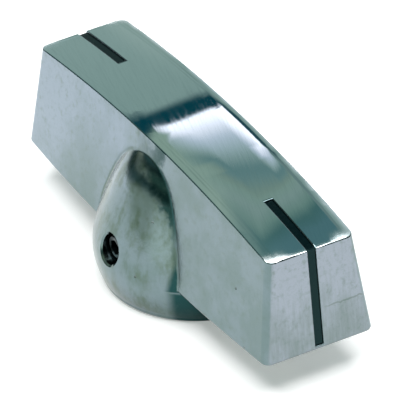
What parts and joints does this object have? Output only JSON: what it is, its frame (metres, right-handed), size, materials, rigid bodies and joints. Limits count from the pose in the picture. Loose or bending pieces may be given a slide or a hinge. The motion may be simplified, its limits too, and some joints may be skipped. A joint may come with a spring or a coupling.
{
  "type": "bar control knob",
  "caption": "Cast metal bar pointer knob with a round tapered hub, a side set screw and a black index line at each end, for turning a control stem.",
  "frame": {"origin": "centre of the hub's flat base, where the knob faces its panel", "axes": "+Z along the stem axis out of the panel towards the polished top, X along the bar, the set screw enters from -Y"},
  "size_m": [0.076, 0.0338, 0.0272],
  "materials": {
    "cast_aluminium": "mirror-polished top face, satin cast sides, ends and hub",
    "black_oxide_steel": "black oxide with worn bright edges",
    "black_enamel": "black enamel filled into the pointer grooves, slightly matt"
  },
  "bodies": {
    "knob": {"knob_body": "cast_aluminium", "front_pointer_enamel": "black_enamel", "rear_pointer_enamel": "black_enamel"},
    "screw": {"set_screw": "black_oxide_steel"}
  },
  "joints": [
    {"name": "set_screw_travel", "type": "slide", "parent": "knob", "child": "screw", "axis": [0, 1, 0], "range_m": [-0.0025, 0.0013]}
  ]
}
